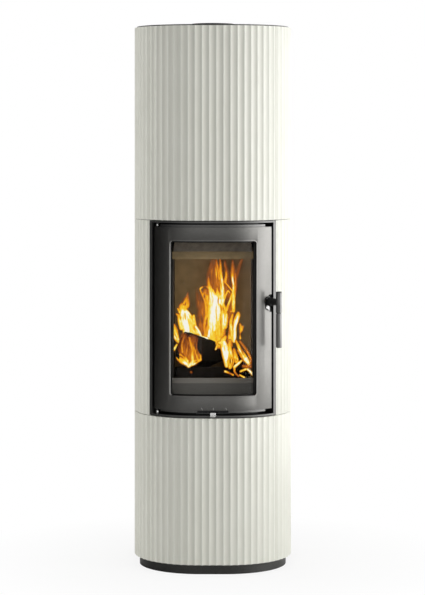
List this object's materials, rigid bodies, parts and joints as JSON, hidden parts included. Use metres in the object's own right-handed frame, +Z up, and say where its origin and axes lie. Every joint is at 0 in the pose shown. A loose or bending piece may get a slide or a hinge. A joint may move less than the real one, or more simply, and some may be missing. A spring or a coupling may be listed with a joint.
{
  "type": "tiled stove",
  "caption": "Tall wood stove clad in fluted ceramic tiles, with a curved glass door, swivel handle, air slider and rear flue stub.",
  "frame": {"origin": "on the floor, under the middle of the overall box", "axes": "+Z up, the door faces -Y, the handle is on +X"},
  "size_m": [0.5, 0.498, 1.7205],
  "materials": {
    "tile_glaze": "gloss",
    "anthracite_door": "satin metallic",
    "anthracite_frame": "satin metallic",
    "dark_steel": "matt",
    "lever_paint": "satin metallic",
    "bright_steel": "satin",
    "sheet_steel": "galvanised",
    "cover_paint": "matt",
    "firebrick": "matt",
    "storage_brick": "matt",
    "cast_iron": "matt",
    "door_glass": "gloss",
    "rope": "woven",
    "bush_brass": "satin"
  },
  "bodies": {
    "stove": {"lower_tile_front": "tile_glaze", "lower_tile_right": "tile_glaze", "lower_tile_left": "tile_glaze", "middle_tile_right": "tile_glaze", "middle_tile_left": "tile_glaze", "upper_tile_front": "tile_glaze", "upper_tile_right": "tile_glaze", "upper_tile_left": "tile_glaze", "door_surround": "anthracite_frame", "top_plate": "anthracite_frame", "plinth": "anthracite_frame", "base_plate": "anthracite_frame", "top_lid": "anthracite_frame", "latch_keeper": "dark_steel", "firebox_shell": "dark_steel", "lintel_shelf": "dark_steel", "smoke_deflector": "dark_steel", "hinge_pins": "bright_steel", "firebox_stand": "sheet_steel", "carrier_posts": "sheet_steel", "carrier_rings": "sheet_steel", "air_box": "sheet_steel", "air_guides": "sheet_steel", "air_pipe": "sheet_steel", "air_collar": "sheet_steel", "levelling_feet": "sheet_steel", "rear_cover_screws": "sheet_steel", "ash_pan": "sheet_steel", "rear_cover_lower": "cover_paint", "rear_cover_upper": "cover_paint", "flue_collar": "cover_paint", "flue_pipe": "cover_paint", "flue_plug": "cover_paint", "lining_back": "firebrick", "lining_right": "firebrick", "lining_left": "firebrick", "lining_base": "firebrick", "baffle_lower": "firebrick", "baffle_upper": "firebrick", "heat_store_right": "storage_brick", "heat_store_left": "storage_brick", "grate": "cast_iron", "log_retainer": "cast_iron", "joint_tapes": "rope"},
    "door": {"door_panel": "anthracite_door", "door_inner_frame": "dark_steel", "door_glass": "door_glass", "glass_seal": "rope", "glass_clips": "dark_steel", "door_seal": "rope", "spindle_bush": "bush_brass"},
    "handle": {"handle_lever": "lever_paint", "handle_grip": "lever_paint", "handle_spindle": "bright_steel", "latch_tongue": "bright_steel", "latch_nut": "bright_steel"},
    "air_slider": {"air_valve": "sheet_steel", "air_knob": "bright_steel"}
  },
  "joints": [
    {"name": "door_hinge", "type": "hinge", "parent": "stove", "child": "door", "pos_m": [-0.17339, -0.17597, 0.79425], "axis": [0, 0, -1], "range_deg": [0, 95]},
    {"name": "handle_turn", "type": "hinge", "parent": "door", "child": "handle", "pos_m": [0.17892, -0.18848, 0.847], "axis": [0.6615, -0.7499, 0], "range_deg": [0, 90]},
    {"name": "air_slide", "type": "slide", "parent": "stove", "child": "air_slider", "axis": [1, 0, 0], "range_m": [-0.04, 0.04]}
  ]
}
